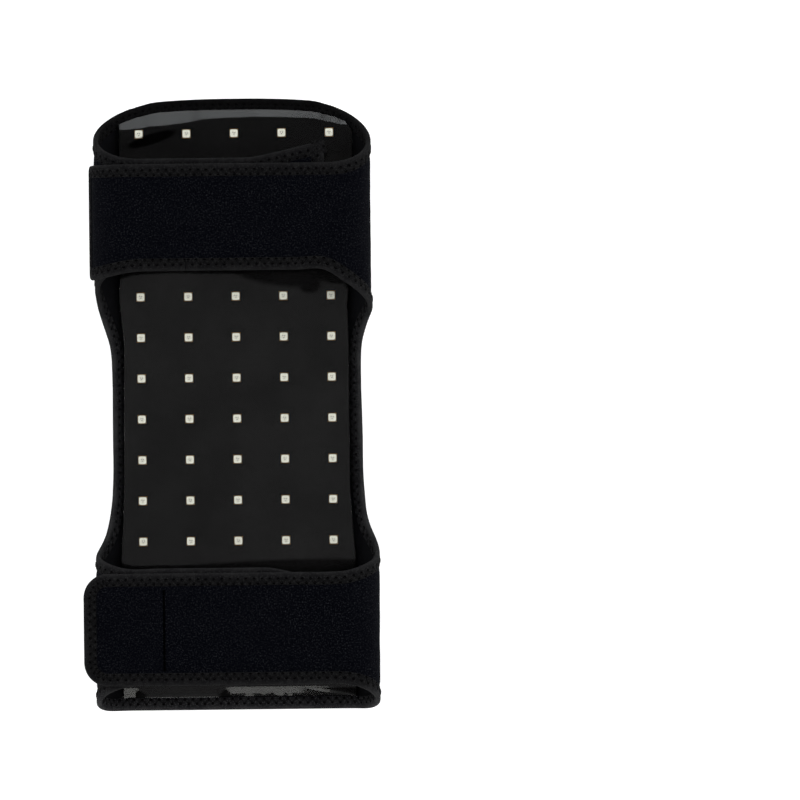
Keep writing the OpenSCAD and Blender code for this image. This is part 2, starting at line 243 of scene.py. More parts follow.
class Edge:
    """A bound edge on the flat sheet: points along it, and the way into the cloth from each."""

    def __init__(self, points, turn):
        p = np.array(points, float)
        run = np.concatenate([[0], np.cumsum(np.linalg.norm(np.diff(p, axis=0), axis=1))])
        self.run = np.arange(0, run[-1], 0.5)
        self.points = join(*(np.interp(self.run, run, p[:, k]) for k in (0, 1)))
        way = np.gradient(self.points, axis=0)
        soften = np.ones(7) / 7
        way = join(*(np.convolve(np.pad(way[:, k], 3, "edge"), soften, "valid") for k in (0, 1)))
        way /= np.linalg.norm(way, axis=1)[:, None]
        self.inward = turn * join(-way[:, 1], way[:, 0])

    def at(self, run, w):
        """Flat points a distance w into the cloth, at each run along the edge."""
        place = [np.interp(run, self.run, self.points[:, k]) for k in (0, 1)]
        inward = [np.interp(run, self.run, self.inward[:, k]) for k in (0, 1)]
        return place[0] + inward[0] * w, place[1] + inward[1] * w

    def run_at_u(self, u):
        order = np.argsort(self.points[:, 0], kind="stable")
        return float(np.interp(u, self.points[order, 0], self.run[order]))


def edge_of(height, u0, u1, turn):
    u = np.linspace(u0, u1, 400)
    return Edge(join(u, height(u)), turn)


# Edges of the side openings: distance along the sheet, then height
UPPER_WAIST = [(79, -25), (79, -5), (79, 13)]
LOWER_WAIST = [(79, -5), (79, -25), (79, -42)]
WAIST_POINTS = 90  # the first points of an opening's edge, which lie along the waist
UPPER_RIGHT = curve_through(UPPER_WAIST + [(80, 33), (84, 45), (92, 55), (109, 64),
    (127, 75), (142, STRAP_LOW), (160, STRAP_LOW)])
LOWER_RIGHT = curve_through(LOWER_WAIST + [(80, -57), (82, -71), (88, -82), (102, -94),
    (128, -103.5), (142, LOWER_TOP), (160, LOWER_TOP)])
UPPER_LEFT = curve_through(UPPER_WAIST + [(80, 34), (84, 46), (91, 59), (99, 70), (115, 80),
    (130, UPPER_WING_LOW), (150, UPPER_WING_LOW)])
LOWER_LEFT = curve_through(LOWER_WAIST + [(80, -59), (82, -73), (86, -84), (95, -92), (110, -97),
    (130, LOWER_WING_TOP), (150, LOWER_WING_TOP)])


def read_off(line, value, known, wanted):
    """One coordinate of an opening's edge, where the other has a value."""
    order = np.argsort(line[:, known], kind="stable")
    return np.interp(value, line[order, known], line[order, wanted])


def above(line, u):
    return read_off(line, u, 0, 1)


def beside(line, y):
    return read_off(line, y, 1, 0)


def coons(bottom, top, left, right):
    """A grid of flat points between four edges: two run across, and left and right run up."""
    s = np.linspace(0, 1, len(bottom))[:, None, None]
    t = np.linspace(0, 1, len(left))[None, :, None]
    b, p, lo, r = bottom[:, None], top[:, None], left[None], right[None]
    corners = (1 - s) * (1 - t) * b[0, 0] + s * (1 - t) * b[-1, 0]
    corners = corners + (1 - s) * t * p[0, 0] + s * t * p[-1, 0]
    return (1 - t) * b + t * p + (1 - s) * lo + s * r - corners


def strip_grid(low, high, u0, u1, tuck_end=0.0):
    """Flat points of a band between two heights that are functions of u."""
    u = np.linspace(u0, u1 - tuck_end, max(4, round(abs(u1 - u0) / CELL)))
    lo, hi = low(u) + TUCK, high(u) - TUCK
    t = np.linspace(0, 1, max(4, round(float(np.max(hi - lo)) / CELL)))[None, :]
    return join(np.repeat(u[:, None], t.shape[1], 1), lo[:, None] * (1 - t) + hi[:, None] * t)


# --- meshes
def quads(rows, cols, wrap=False, first=0):
    """Faces of a grid of points; wrap joins its last column to its first."""
    index = first + np.arange(rows * cols).reshape(rows, cols)
    if wrap:
        index = np.hstack([index, index[:, :1]])
    return join(index[:-1, :-1], index[1:, :-1], index[1:, 1:], index[:-1, 1:]).reshape(-1, 4)


def make_piece(name, points, faces, materials, face_slots=None, flat=None, sharp_deg=48):
    """A mesh object in metres. flat is where each point lies on the flat cloth, in millimetres."""
    mesh = bpy.data.meshes.new(name)
    mesh.from_pydata(points.reshape(-1, 3).tolist(), [], [list(map(int, f)) for f in faces])
    for material in materials:
        mesh.materials.append(material)
    if face_slots is not None:
        mesh.polygons.foreach_set("material_index", np.asarray(face_slots, np.int32))
    if flat is not None:
        attribute = mesh.attributes.new("flat", "FLOAT_VECTOR", "POINT")
        attribute.data.foreach_set("vector", np.asarray(flat, np.float32).ravel())
    work = bmesh.new()
    work.from_mesh(mesh)
    bmesh.ops.recalc_face_normals(work, faces=work.faces)
    work.to_mesh(mesh)
    work.free()
    mesh.polygons.foreach_set("use_smooth", np.ones(len(mesh.polygons), bool))
    mesh.set_sharp_from_angle(angle=math.radians(sharp_deg))
    return show(bpy.data.objects.new(name, mesh))


def show(piece):
    bpy.context.scene.collection.objects.link(piece)
    return piece


def face_up(piece):
    """Turns an open sheet's faces to look up."""
    if piece.data.polygons[0].normal.z < 0:
        piece.data.flip_normals()


def slab_faces(rows, cols):
    """Faces of a closed slab of two grids of points, and the side of each: 0 outer, 1 inner."""
    count = rows * cols
    index = np.arange(count).reshape(rows, cols)
    rim = np.concatenate([index[:-1, 0], index[-1, :-1], index[:0:-1, -1], index[0, :0:-1]])
    after = np.roll(rim, -1)
    walls = join(rim, rim + count, after + count, after)
    outer, inner = quads(rows, cols), quads(rows, cols, first=count)[:, ::-1]
    sides = np.concatenate([np.zeros(len(outer)), np.ones(len(inner)), np.zeros(len(walls))])
    return np.vstack([outer, inner, walls]), sides.astype(int)


def ring_faces(rows, cols, first=0):
    """Faces of a closed tube of rings of points, with a cap at each end."""
    sides = quads(rows, cols, wrap=True, first=first).tolist()
    start = list(range(first, first + cols))
    stop = list(range(first + (rows - 1) * cols, first + rows * cols))
    return sides + [start[::-1], stop]


def wave(u, y, size, seed):
    """Smooth noise over the flat cloth, from about -1 to 1."""
    flat_u, flat_y = np.broadcast_arrays(u, y)
    places = zip(flat_u.ravel() / size, flat_y.ravel() / size)
    return np.array([noise.noise(Vector((*place, seed))) for place in places]).reshape(flat_u.shape)


# --- materials
class Shader:
    """A node material under construction."""

    def __init__(self, name):
        self.material = bpy.data.materials.new(name)
        self.material.use_nodes = True
        self.tree = self.material.node_tree
        self.tree.nodes.clear()
        self.output = self.add("OutputMaterial")

    def add(self, kind, inputs=None, **settings):
        node = self.tree.nodes.new("ShaderNode" + kind)
        for key, value in settings.items():
            setattr(node, key, value)
        for key, value in (inputs or {}).items():
            if isinstance(value, bpy.types.NodeSocket):
                self.tree.links.new(value, node.inputs[key])
            else:
                node.inputs[key].default_value = value
        return node

    def flat(self):
        """Where a point lies on the flat cloth, in millimetres."""
        return self.add("Attribute", attribute_name="flat").outputs["Vector"]

    def place(self):
        """Where a point lies in the row frame, in millimetres."""
        return self.scaled(self.add("TexCoord").outputs["Object"], 1 / MM)

    def scaled(self, vector, scale):
        return self.add("VectorMath", {0: vector, "Scale": scale}, operation="SCALE").outputs[0]

    def parts(self, vector):
        return self.add("SeparateXYZ", {"Vector": vector}).outputs

    def noise(self, where, size, detail=2.0, rough=0.5):
        inputs = {"Vector": where, "Scale": 1 / size, "Detail": detail, "Roughness": rough}
        return self.add("TexNoise", inputs).outputs["Fac"]

    def cells(self, where, size, randomness=1.0):
        inputs = {"Vector": where, "Scale": 1 / size, "Randomness": randomness}
        return self.add("TexVoronoi", inputs).outputs["Distance"]

    def oval(self, where, centre, half, turn_deg, soft=0.15):
        """1 inside an oval about a centre, in millimetres, and 0 outside it, with a soft edge."""
        shifted = self.add("VectorMath", {0: where, 1: (*centre, 0)}, operation="SUBTRACT")
        turned = self.add("VectorRotate", {"Vector": shifted.outputs[0],
            "Angle": -math.radians(turn_deg)}, rotation_type="Z_AXIS")
        scaled = self.add("VectorMath", {0: turned.outputs[0], 1: (1 / half[0], 1 / half[1], 0)},
            operation="MULTIPLY")
        away = self.add("VectorMath", {0: scaled.outputs[0]}, operation="LENGTH")
        return self.between(away.outputs["Value"], 1 + soft, 1 - soft)

    def between(self, value, low, high, to_low=0.0, to_high=1.0):
        return self.add("MapRange", {"Value": value, "From Min": low, "From Max": high,
            "To Min": to_low, "To Max": to_high}).outputs["Result"]

    def maths(self, operation, a, b=0.5):
        return self.add("Math", {0: a, 1: b}, operation=operation).outputs[0]

    def plus(self, a, b):
        return self.maths("ADD", a, b)

    def times(self, a, b):
        return self.maths("MULTIPLY", a, b)

    def most(self, a, b):
        return self.maths("MAXIMUM", a, b)

    def power(self, a, b):
        return self.maths("POWER", a, b)

    def mix(self, factor, a, b):
        node = self.add("Mix", {"Factor": factor}, data_type="RGBA")
        for socket, value in ((node.inputs[6], a), (node.inputs[7], b)):
            if isinstance(value, bpy.types.NodeSocket):
                self.tree.links.new(value, socket)
            else:
                socket.default_value = (*value, 1)
        return node.outputs[2]

    def bump(self, height, distance, strength=1.0):
        inputs = {"Height": height, "Distance": distance * MM, "Strength": strength}
        return self.add("Bump", inputs).outputs["Normal"]

    def show(self, surface):
        """Finishes the material."""
        self.tree.links.new(surface.outputs[0], self.output.inputs["Surface"])
        return self.material

    def solid(self, colour, roughness, specular, **more):
        """Finishes an opaque material. Names of more sockets are given with _ for a space."""
        inputs = {"Base Color": colour, "Roughness": roughness, "Specular IOR Level": specular}
        inputs.update({key.replace("_", " "): value for key, value in more.items()})
        return self.show(self.add("BsdfPrincipled", inputs))


def loop_cloth():
    """Brushed loop cloth: blue-black, with the glints of its fine fibres painted in as pale specks.
    """
    s = Shader("loop_cloth")
    flat = s.flat()
    fibres = s.noise(flat, 0.95, 2.0, 0.8)
    patches = s.noise(flat, 16.0, 3.0, 0.55)
    # Painted glints: pale specks in the colour stand in for light caught by the fine fibres.
    painted_fibre_glints = s.times(s.between(fibres, 0.53, 0.70), s.between(patches, 0.3, 0.75, 0.6, 1.0))
    colour = s.mix(painted_fibre_glints, (0.0005, 0.0007, 0.0018), (0.0205, 0.0215, 0.0250))
    pile = s.plus(s.noise(flat, 0.9, 3.0, 0.65), s.between(s.noise(flat, 7.0), 0, 1, 0, 0.5))
    return s.solid(colour, s.between(fibres, 0.3, 0.8, 0.98, 0.85), 0.02,
        Normal=s.bump(pile, 0.35, 0.8))


def jersey():
    """Smooth nylon jersey on neoprene, with fine knit ribs along the sheet."""
    s = Shader("jersey")
    flat = s.flat()
    ribs = s.add("TexWave", {"Vector": flat, "Scale": 0.5, "Distortion": 1.2, "Detail": 2.0},
        bands_direction="Y").outputs["Fac"]
    tone = s.noise(flat, 9.0, 3.0)
    colour = s.mix(s.between(tone, 0.3, 0.7), (0.0008, 0.0009, 0.0014), (0.0022, 0.0023, 0.0030))
    height = s.plus(s.between(ribs, 0, 1, 0, 0.5), s.noise(flat, 0.8, 2.0))
    return s.solid(colour, s.between(tone, 0.2, 0.8, 0.72, 0.88), 0.05,
        Normal=s.bump(height, 0.12, 0.7))


def binding_tape():
    """Folded knit tape: pebbled, paler on its worn rolled edge, with painted shade in its needle
    holes and painted light and shade by height.
    Its flat points are run, distance in from the edge, and depth."""
    s = Shader("binding_tape")
    flat = s.flat()
    parts = s.parts(flat)
    run, w = parts["X"], parts["Y"]
    hole_dents_and_shade = None
    for row, phase in ((ZIG_IN, 0.0), (ZIG_OUT, ZIG_PITCH)):
        turn = s.maths("PINGPONG", s.plus(run, phase), ZIG_PITCH)
        squares = s.plus(s.power(turn, 2.0), s.power(s.maths("SUBTRACT", w, row), 2.0))
        dot = s.between(s.maths("SQRT", squares), 1.0, 0.6)
        hole_dents_and_shade = dot if hole_dents_and_shade is None else s.most(hole_dents_and_shade, dot)
    pebble = s.cells(flat, 1.15)
    tone = s.noise(flat, 6.0, 3.0)
    worn = s.between(w, 2.6, 0.4, 0.0, 0.9)
    # Painted light and shade by height: the tape is darker near the top and lighter about the waist
    # and at the foot.
    height = s.parts(s.place())["Y"]
    from_middle = s.maths("ABSOLUTE", s.plus(height, 15.0))
    painted_light_by_height = s.plus(s.between(height, 190.0, 160.0, 0.3, 1.15),
        s.between(from_middle, 98.0, 62.0, 0.0, 1.1))
    painted_light_by_height = s.plus(painted_light_by_height, s.between(height, -176.0, -188.0, 0.0, 2.2))
    base = s.mix(s.between(tone, 0.3, 0.7), (0.0022, 0.0022, 0.0026), (0.0050, 0.0050, 0.0053))
    base = s.mix(s.times(worn, tone), base, (0.0125, 0.0125, 0.013))
    base = s.mix(s.between(pebble, 0.5, 0.15, 0.0, 0.8), base, (0.0115, 0.0115, 0.0118))
    # Painted shade: the needle holes are darkened in the colour, over their dents.
    colour = s.mix(hole_dents_and_shade, s.scaled(base, painted_light_by_height), (0.0002, 0.0002, 0.0003))
    return s.solid(colour, s.between(pebble, 0.0, 0.7, 0.8, 0.95),
        s.between(hole_dents_and_shade, 0, 1, 0.045, 0.0),
        Normal=s.bump(s.maths("SUBTRACT", pebble, hole_dents_and_shade), 0.22, 0.7))


def thread(name, low, high, shine=0.05):
    s = Shader(name)
    strands = s.noise(s.flat(), 0.35, 2.0)
    colour = s.mix(s.between(strands, 0.3, 0.7), low, high)
    return s.solid(colour, s.between(strands, 0.3, 0.7, 0.55, 0.72), shine,
        Normal=s.bump(strands, 0.08))


def hook_tape():
    """Dense nylon hooks, as a field of small pale-tipped dots."""
    s = Shader("hook_tape")
    tips = s.between(s.cells(s.flat(), 1.1, 0.25), 0.45, 0.1)
    colour = s.mix(tips, (0.002, 0.002, 0.002), (0.022, 0.022, 0.023))
    return s.solid(colour, s.between(tips, 0, 1, 0.8, 0.45), 0.35, Normal=s.bump(tips, 0.9))


def mask_sheet():
    """Matt black sheet behind the film, with a faint weave and soft uneven patches."""
    s = Shader("mask_sheet")
    where = s.place()
    weave = s.add("TexChecker", {"Vector": where, "Scale": 1.4}).outputs["Fac"]
    patches = s.noise(where, 38.0, 3.0, 0.5)
    grain = s.between(s.noise(where, 1.5, 2.0, 0.6), 0.35, 0.65, 0.0, 0.5)
    tone = s.plus(s.between(patches, 0.32, 0.68, 0.0, 0.5), grain)
    colour = s.mix(tone, (0.0008, 0.0008, 0.0008), (0.0036, 0.0035, 0.0033))
    height = s.plus(s.between(weave, 0, 1, 0, 0.4), s.noise(where, 0.7, 2.0))
    return s.solid(colour, s.between(patches, 0, 1, 0.62, 0.8), 0.03,
        Normal=s.bump(height, 0.05, 0.6))


# Patches of painted shade on the film next to the straps, where its reflection is taken away:
# centre, half sizes, turn, lost shine and lost light
FILM_SHADE_PATCHES = [((-52.0, 167.6), (16.5, 3.3), 17.0, 1.0, 0.3),
            ((24.0, 84.0), (32.0, 9.0), -11.0, 0.85, 0.0),
            ((46.5, 75.5), (7.0, 6.0), 0.0, 0.85, 0.0),
            ((62.0, 81.0), (15.0, 5.6), -8.0, 0.85, 0.0),
            ((73.0, 76.0), (9.0, 5.0), -50.0, 0.8, 0.0),
            ((22.0, -105.5), (84.0, 7.0), 1.5, 0.9, 0.0)]
# The torn shine along the film's foot, and the glints at its ends: centre, half sizes, turn
FOOT_SHINE_Y = 182.6
FOOT_GLINTS = [((-70.5, -182.0), (3.6, 1.7), 25.0), ((56.0, -181.6), (16.0, 1.0), -9.0)]


def clear_film():
    """Clear soft film: nearly everything shows through it, under an uneven glossy reflection.
    Its reflection is taken away as painted shade over its top zone and in patches, and it is dull on
    its steep sealed edges."""
    s = Shader("clear_film")
    where = s.place()
    haze = s.noise(where, 22.0, 3.0)
    smudge = s.between(s.noise(where, 34.0, 4.0, 0.6), 0.35, 0.7, 0.9, 1.25)
    ripple = s.bump(s.noise(where, 14.0, 2.0, 0.4), 0.12, 0.35)
    parts = s.parts(where)
    # Painted shade: the film's reflection is taken away toward its top and in the patches next to
    # the straps.
    painted_shade_dull = s.between(parts["Y"], 118.0, 160.0, 0.0, 0.74)
    dark = 0.0
    for centre, half, turn_deg, dull, dim in FILM_SHADE_PATCHES:
        patch = s.oval(where, centre, half, turn_deg)
        painted_shade_dull = s.most(painted_shade_dull, s.times(patch, dull))
        dark = s.most(dark, s.times(patch, dim))
    shred = s.noise(where, 5.0, 1.0, 0.4)
    shred = s.between(shred, 0.53, 0.60, FOOT_SHINE_Y, FOOT_SHINE_Y + 5.0)
    torn = s.between(s.plus(parts["Y"], shred), -0.3, 0.3)
    torn = s.times(torn, s.between(parts["X"], -14.5, -13.0))
    torn = s.times(torn, s.between(parts["X"], 36.0, 44.0, 1.0, 0.0))
    for centre, half, turn_deg in FOOT_GLINTS:
        torn = s.most(torn, s.oval(where, centre, half, turn_deg))
    foot_shine = s.most(torn, s.between(parts["X"], -15.0, -13.0, 1.0, 0.1))
    foot_shine = s.most(foot_shine, s.between(parts["Y"], -180.0, -178.5))
    facing = s.parts(s.add("NewGeometry").outputs["Normal"])
    upright = s.maths("ABSOLUTE", facing["Z"])
    level = s.between(upright, 0.92, 0.97)
    shine = s.maths("SUBTRACT", 1.0, s.times(painted_shade_dull, level))
    shine = s.times(s.times(shine, foot_shine), smudge)
    shine = s.times(shine, s.between(upright, 0.74, 0.82, 0.015, 1.0))
    sideways = s.maths("ABSOLUTE", facing["X"])
    shine = s.times(shine, s.between(sideways, 0.1, 0.18, 1.0, 0.008))
    # Painted shadow: what shows through the film is darkened in the patches that lose light.
    tint = s.mix(s.times(dark, level), (0.97, 0.975, 0.98), (0.0, 0.0, 0.0))
    clear = s.add("BsdfTransparent", {"Color": tint})
    gloss = s.add("BsdfGlossy", {"Color": (1, 1, 1, 1), "Normal": ripple,
        "Roughness": s.between(haze, 0.3, 0.7, 0.04, 0.10)})
    glance = s.add("LayerWeight", {"Blend": 0.5, "Normal": ripple}).outputs["Facing"]
    mirror = s.plus(0.04, s.times(s.power(glance, 5.0), 0.96))
    return s.show(s.add("MixShader", {0: s.times(mirror, shine), 1: clear.outputs[0],
        2: gloss.outputs[0]}))


def foam():
    s = Shader("foam")
    cells = s.cells(s.place(), 0.8)
    colour = s.mix(s.between(cells, 0.1, 0.6), (0.02, 0.02, 0.021), (0.055, 0.055, 0.058))
    return s.solid(colour, s.between(cells, 0, 0.7, 0.8, 0.95), 0.2, Normal=s.bump(cells, 0.25))


def from_light(s, where):
    """Distance from the nearest light's middle, growing as a square with rounded corners."""
    parts = s.parts(where)
    across = s.maths("PINGPONG", parts["X"], LED_PITCH_X / 2)
    up = s.maths("SUBTRACT", parts["Y"], LED_MID_Y - LED_PITCH_Y / 2)
    up = s.maths("PINGPONG", up, LED_PITCH_Y / 2)
    return s.power(s.plus(s.power(across, 6.0), s.power(up, 6.0)), 1 / 6)


def led_body():
    """Cream moulded package, browner at its edges and round its foot."""
    s = Shader("led_body")
    where = s.place()
    height = s.parts(where)["Z"]
    grain = s.noise(where, 1.3, 3.0)
    cream = s.mix(s.between(grain, 0.3, 0.7), (0.84, 0.81, 0.65), (0.93, 0.91, 0.77))
    cream = s.mix(s.between(from_light(s, where), 2.28, 2.46), cream, (0.12, 0.09, 0.05))
    colour = s.mix(s.between(height, LED_TOP, LED_TOP - 0.7), cream, (0.22, 0.17, 0.10))
    return s.solid(colour, s.between(grain, 0.3, 0.7, 0.38, 0.5), 0.4, Normal=s.bump(grain, 0.05))


def led_lens():
    """Clear silicone in a pale cup."""
    s = Shader("led_lens")
    grain = s.noise(s.place(), 0.9, 2.0)
    colour = s.mix(s.between(grain, 0.35, 0.65), (0.78, 0.76, 0.62), (0.92, 0.90, 0.77))
    return s.solid(colour, s.between(grain, 0.3, 0.7, 0.08, 0.2), 0.5,
        Coat_Weight=0.4, Coat_Roughness=0.06)


def moulded(name, low, high, rough, size=0.6, metal=0.0):
    """A plain moulded, drawn or plated surface with fine grain."""
    s = Shader(name)
    where = s.place()
    grain = s.noise(where, size, 3.0)
    tone = s.noise(where, size * 7, 2.0)
    colour = s.mix(s.between(s.plus(grain, tone), 0.7, 1.3), low, high)
    return s.solid(colour, s.between(grain, 0.3, 0.7, rough - 0.08, rough + 0.08), 0.4,
        Metallic=metal, Normal=s.bump(grain, 0.05))


def striped(name, stripe_low, stripe_high, inside, outside, rough=0.4):
    """Two colours: one where x lies between two values, in millimetres, and one elsewhere."""
    s = Shader(name)
    where = s.place()
    x = s.parts(where)["X"]
    within = s.times(s.maths("GREATER_THAN", x, stripe_low), s.maths("LESS_THAN", x, stripe_high))
    grain = s.noise(where, 0.5, 2.0)
    return s.solid(s.mix(within, outside, inside),
        s.between(grain, 0.3, 0.7, rough - 0.08, rough + 0.08), 0.4, Normal=s.bump(grain, 0.03))


LOOP, JERSEY, TAPE, HOOKS = loop_cloth(), jersey(), binding_tape(), hook_tape()
THREAD = thread("thread", (0.0014, 0.0014, 0.0016), (0.0052, 0.0052, 0.0056))
SEAM_THREAD = thread("seam_thread", (0.0001, 0.0001, 0.0002), (0.0004, 0.0004, 0.0005), 0.0)
MASK, FILM, FOAM = mask_sheet(), clear_film(), foam()


# --- areas of the sheet
class Area:
    """One area of the sheet between two joints."""

    def __init__(self, name, path, grid, edges, attach, stands_for, held="folded"):
        self.name, self.path, self.grid, self.edges = name, path, grid, edges
        self.attach, self.stands_for, self.held = attach, stands_for, held


def rider(body):
    return lambda piece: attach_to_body(piece, body)


def bender(first, second, start, end):
    """start and end are x and z, in millimetres; they are not used."""
    start, end = ((x * MM, 0, z * MM) for x, z in (start, end))
    return lambda piece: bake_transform(piece)


def on_fold(path, degrees):
    """x and z of the outer face on a fold; 0 is its side and -90 its foot."""
    a = math.radians(degrees)
    return (path.side * (path.fold_x + path.r * math.cos(a)), path.r + path.r * math.sin(a))


def on_tip(degrees):
    """x and z in the middle of the upper strap's tip, at an angle above the left fold's side."""
    a, r = math.radians(degrees), TIP_R - SHEET_T / 2
    return (-LEFT_FOLD[0] - r * math.cos(a), LEFT_FOLD[1] + r * math.sin(a))


def fold_bend(first, second, path, low, high):
    return bender(first, second, on_fold(path, low), on_fold(path, high))


# Two places on each end, x and z in millimetres, passed to its bender, which does not use them.
END_BENDS = {"upper": (on_tip(46), on_tip(30)), "lower": ((-43.0, STRAP_Z), (-55.0, STRAP_Z))}


def end_bend(lobe):
    return bender(f"{lobe}_front", f"{lobe}_end", *END_BENDS[lobe])


def quarter(path, line, bound, way):
    """Flat points of a lobe's back quarter, from the fold's start to its side. bound is the
    sheet's rim for an upper lobe, with way 1, and its foot for a lower one, with way -1."""
    u0, seam = path.fold_x, path.side_u
    count = round((seam - u0) / CELL)
    low, high = sorted((WAIST_MID_Y, float(bound(seam)) - way * TUCK))
    y = np.linspace(low, high, round((high - low) / CELL))
    right = join(np.minimum(beside(line, y) - TUCK, seam), y)
    fold_ends = sorted((WAIST_MID_Y, float(bound(u0)) - way * TUCK))
    left = join(np.full(len(y), u0), np.linspace(*fold_ends, len(y)))
    waist_end = right[0 if way > 0 else -1, 0]
    waist = join(np.linspace(u0, waist_end, count), np.full(count, WAIST_MID_Y))
    u = np.linspace(u0, seam, count)
    bottom, top = (waist, join(u, bound(u) - way * TUCK))[::way]
    return coons(bottom, top, left, right)


def tab_half(u):
    """How far the tab's round corners draw its edges in."""
    into = np.clip(u - (TAB_END_U - TAB_CORNER_R), 0, TAB_CORNER_R)
    return TAB_CORNER_R - np.sqrt(TAB_CORNER_R**2 - into**2)


def end_loop(high, low, u1, radius, phase):
    """The edge round a strap's free end: along its top, round two corners and back.
    phase is how far it starts before the split, to carry the zigzag on without a break."""
    end = u1 - radius
    a = np.linspace(0, np.pi / 2, 30)
    over_u = np.linspace(SPLIT_U - phase, end, 40)
    under_u = np.linspace(end, SPLIT_U, 40)
    first = join(end + radius * np.sin(a), high(end) - radius + radius * np.cos(a))
    second = join(end + radius * np.cos(a), low(end) + radius - radius * np.sin(a))
    top, bottom = join(over_u, high(over_u)), join(under_u, low(under_u))
    edge = Edge(np.vstack([top[:-1], first, second, bottom[1:]]), -1)
    return edge, phase, float(edge.run[-1])


RIM_RIGHT = edge_of(rim_right, -70, TIP_END_U, -1)
RIM_LEFT = edge_of(wing_rim, 50, WING_END_U, -1)
FOOT_RIGHT = edge_of(foot, -70, SPLIT_U + 10, 1)
FOOT_LEFT = edge_of(foot, 50, WING_END_U, 1)


def spans(u0, u1, *edges):
    """Parts of edges between two distances along the sheet."""
    return [(edge, edge.run_at_u(u0), edge.run_at_u(u1)) for edge in edges]


def from_waist(line, turn, u1):
    """Part of an opening's edge from the middle of the waist."""
    edge = Edge(line, turn)
    nearest = np.argmin(np.abs(edge.points[:WAIST_POINTS, 1] - WAIST_MID_Y))
    return edge, float(edge.run[nearest]), edge.run_at_u(u1)


def across_end(u, low, high):
    edge = Edge([(u, low), (u, high)], 1)
    return edge, 0.0, float(edge.run[-1])


def extended(line, height):
    """An opening's edge, carried on level past its last point."""
    return lambda u: np.where(u > line[-1, 0], height, above(line, u))


UPPER_RIGHT_LOW = extended(UPPER_RIGHT, STRAP_LOW)
LOWER_RIGHT_HIGH = extended(LOWER_RIGHT, LOWER_TOP)
UPPER_LEFT_LOW = extended(UPPER_LEFT, UPPER_WING_LOW)
LOWER_LEFT_HIGH = extended(LOWER_LEFT, LOWER_WING_TOP)


def strap_low(u):
    return UPPER_RIGHT_LOW(u) - FLARE * ease((u - FLARE_U) / FLARE_RUN)


def wing_top(u):
    """Top edge of the lower wing, which slips down under the strap toward its end."""
    return LOWER_LEFT_HIGH(u) - WING_DIP * ease((u - LEFT.front_u - WING_DIP_START) / WING_DIP_RUN)


STRAP_LOW_EDGE = edge_of(strap_low, 95, TIP_END_U, 1)
LOWER_HIGH_EDGE = edge_of(LOWER_RIGHT_HIGH, 95, SPLIT_U + 10, -1)
WING_LOW_EDGE = edge_of(UPPER_LEFT_LOW, 95, WING_END_U, 1)
WING_HIGH_EDGE = edge_of(wing_top, 95, WING_END_U, -1)


def zigzag_phase(edge):
    return edge.run_at_u(SPLIT_U) % (2 * ZIG_PITCH)


def side_area(name, path, line, bound, way, edge, body, stands_for):
    """A lobe's back quarter, round its fold from the panel to its side."""
    edges = spans(path.fold_x, path.side_u, edge) + [from_waist(line, way, path.side_u)]
    return Area(name, path, quarter(path, line, bound, way), edges,
        fold_bend("panel", body, path, -72, 0), stands_for)


